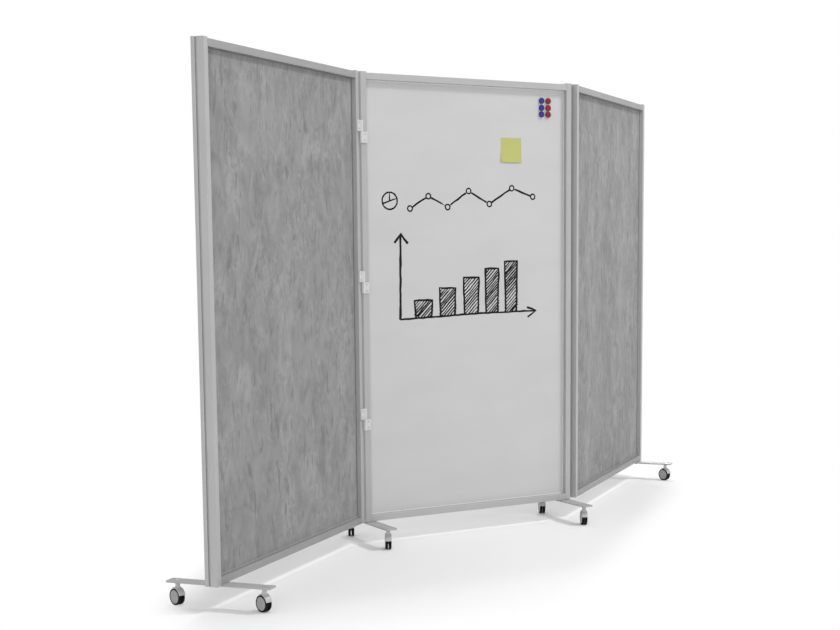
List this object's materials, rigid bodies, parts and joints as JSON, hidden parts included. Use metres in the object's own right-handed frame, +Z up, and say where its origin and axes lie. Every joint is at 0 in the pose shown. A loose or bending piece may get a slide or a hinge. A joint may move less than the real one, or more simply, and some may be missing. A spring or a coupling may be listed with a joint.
{
  "type": "rolling partition",
  "caption": "Folding room divider of framed panels, acoustic felt and whiteboard, hinged in a zigzag on flat foot bars with twin-wheel casters.",
  "frame": {"origin": "on the floor under the middle of the middle panel, which is the middle of the box", "axes": "+Z up; +X along the middle panel; -Y out of the middle panel's front face, the side that the left panel folds towards"},
  "size_m": [3.0982, 1.7802, 1.874],
  "materials": {
    "aluminium_frame": "satin natural anodised",
    "cap_plastic": "matt light grey",
    "grey_felt": "pressed felt with a vertical marbled streak",
    "white_enamel": "white enamel, low gloss",
    "board_core": "raw fibreboard",
    "foot_steel": "light grey powder coat",
    "hinge_metal": "satin",
    "zinc_steel": "zinc plated",
    "hood_plastic": "light grey moulded",
    "hub_plastic": "light grey moulded",
    "tyre_rubber": "matt black"
  },
  "bodies": {
    "middle_panel": {"middle_stiles": "aluminium_frame", "middle_rails": "aluminium_frame", "middle_front_sheet": "white_enamel", "middle_back_sheet": "white_enamel", "middle_core": "board_core", "middle_caps": "cap_plastic", "middle_foot_bars": "foot_steel", "middle_screws": "zinc_steel", "middle_stems": "zinc_steel", "left_hinge_lower_leaves": "hinge_metal", "right_hinge_lower_leaves": "hinge_metal", "hinge_pins": "zinc_steel"},
    "left_panel": {"left_stiles": "aluminium_frame", "left_rails": "aluminium_frame", "left_board": "grey_felt", "left_caps": "cap_plastic", "left_foot_bar": "foot_steel", "left_screws": "zinc_steel", "left_stems": "zinc_steel", "left_hinge_upper_leaves": "hinge_metal"},
    "right_panel": {"right_stiles": "aluminium_frame", "right_rails": "aluminium_frame", "right_board": "grey_felt", "right_caps": "cap_plastic", "right_foot_bar": "foot_steel", "right_screws": "zinc_steel", "right_stems": "zinc_steel", "right_hinge_upper_leaves": "hinge_metal"},
    "left_front_caster": {"left_front_hood": "hood_plastic"},
    "left_front_wheels": {"left_front_hubs": "hub_plastic", "left_front_tyres": "tyre_rubber", "left_front_axle": "zinc_steel"},
    "left_back_caster": {"left_back_hood": "hood_plastic"},
    "left_back_wheels": {"left_back_hubs": "hub_plastic", "left_back_tyres": "tyre_rubber", "left_back_axle": "zinc_steel"},
    "middle_left_front_caster": {"middle_left_front_hood": "hood_plastic"},
    "middle_left_front_wheels": {"middle_left_front_hubs": "hub_plastic", "middle_left_front_tyres": "tyre_rubber", "middle_left_front_axle": "zinc_steel"},
    "middle_left_back_caster": {"middle_left_back_hood": "hood_plastic"},
    "middle_left_back_wheels": {"middle_left_back_hubs": "hub_plastic", "middle_left_back_tyres": "tyre_rubber", "middle_left_back_axle": "zinc_steel"},
    "middle_right_front_caster": {"middle_right_front_hood": "hood_plastic"},
    "middle_right_front_wheels": {"middle_right_front_hubs": "hub_plastic", "middle_right_front_tyres": "tyre_rubber", "middle_right_front_axle": "zinc_steel"},
    "middle_right_back_caster": {"middle_right_back_hood": "hood_plastic"},
    "middle_right_back_wheels": {"middle_right_back_hubs": "hub_plastic", "middle_right_back_tyres": "tyre_rubber", "middle_right_back_axle": "zinc_steel"},
    "right_front_caster": {"right_front_hood": "hood_plastic"},
    "right_front_wheels": {"right_front_hubs": "hub_plastic", "right_front_tyres": "tyre_rubber", "right_front_axle": "zinc_steel"},
    "right_back_caster": {"right_back_hood": "hood_plastic"},
    "right_back_wheels": {"right_back_hubs": "hub_plastic", "right_back_tyres": "tyre_rubber", "right_back_axle": "zinc_steel"}
  },
  "joints": [
    {"name": "left_fold", "type": "hinge", "parent": "middle_panel", "child": "left_panel", "pos_m": [-0.5025, -0.032, 0], "axis": [0, 0, 1], "range_deg": [-39, 141]},
    {"name": "right_fold", "type": "hinge", "parent": "middle_panel", "child": "right_panel", "pos_m": [0.5025, 0.032, 0], "axis": [0, 0, 1], "range_deg": [-39, 141]},
    {"name": "left_front_swivel", "type": "hinge", "parent": "left_panel", "child": "left_front_caster", "pos_m": [-1.30639, -0.85155, 0.07], "axis": [0, 0, 1], "continuous": true},
    {"name": "left_front_roll", "type": "hinge", "parent": "left_front_caster", "child": "left_front_wheels", "pos_m": [-1.3076, -0.84669, 0.029], "axis": [-0.9703, -0.2419, 0], "continuous": true},
    {"name": "left_back_swivel", "type": "hinge", "parent": "left_panel", "child": "left_back_caster", "pos_m": [-1.51155, -0.5982, 0.07], "axis": [0, 0, 1], "continuous": true},
    {"name": "left_back_roll", "type": "hinge", "parent": "left_back_caster", "child": "left_back_wheels", "pos_m": [-1.51276, -0.59335, 0.029], "axis": [-0.9703, -0.2419, 0], "continuous": true},
    {"name": "middle_left_front_swivel", "type": "hinge", "parent": "middle_panel", "child": "middle_left_front_caster", "pos_m": [-0.475, -0.163, 0.07], "axis": [0, 0, 1], "continuous": true},
    {"name": "middle_left_front_roll", "type": "hinge", "parent": "middle_left_front_caster", "child": "middle_left_front_wheels", "pos_m": [-0.47289, -0.15847, 0.029], "axis": [-0.9063, 0.4226, 0], "continuous": true},
    {"name": "middle_left_back_swivel", "type": "hinge", "parent": "middle_panel", "child": "middle_left_back_caster", "pos_m": [-0.475, 0.163, 0.07], "axis": [0, 0, 1], "continuous": true},
    {"name": "middle_left_back_roll", "type": "hinge", "parent": "middle_left_back_caster", "child": "middle_left_back_wheels", "pos_m": [-0.47289, 0.16753, 0.029], "axis": [-0.9063, 0.4226, 0], "continuous": true},
    {"name": "middle_right_front_swivel", "type": "hinge", "parent": "middle_panel", "child": "middle_right_front_caster", "pos_m": [0.475, -0.163, 0.07], "axis": [0, 0, 1], "continuous": true},
    {"name": "middle_right_front_roll", "type": "hinge", "parent": "middle_right_front_caster", "child": "middle_right_front_wheels", "pos_m": [0.47711, -0.15847, 0.029], "axis": [-0.9063, 0.4226, 0], "continuous": true},
    {"name": "middle_right_back_swivel", "type": "hinge", "parent": "middle_panel", "child": "middle_right_back_caster", "pos_m": [0.475, 0.163, 0.07], "axis": [0, 0, 1], "continuous": true},
    {"name": "middle_right_back_roll", "type": "hinge", "parent": "middle_right_back_caster", "child": "middle_right_back_wheels", "pos_m": [0.47711, 0.16753, 0.029], "axis": [-0.9063, 0.4226, 0], "continuous": true},
    {"name": "right_front_swivel", "type": "hinge", "parent": "right_panel", "child": "right_front_caster", "pos_m": [1.51155, 0.5982, 0.07], "axis": [0, 0, 1], "continuous": true},
    {"name": "right_front_roll", "type": "hinge", "parent": "right_front_caster", "child": "right_front_wheels", "pos_m": [1.51034, 0.60305, 0.029], "axis": [-0.9703, -0.2419, 0], "continuous": true},
    {"name": "right_back_swivel", "type": "hinge", "parent": "right_panel", "child": "right_back_caster", "pos_m": [1.30639, 0.85155, 0.07], "axis": [0, 0, 1], "continuous": true},
    {"name": "right_back_roll", "type": "hinge", "parent": "right_back_caster", "child": "right_back_wheels", "pos_m": [1.30518, 0.8564, 0.029], "axis": [-0.9703, -0.2419, 0], "continuous": true}
  ]
}
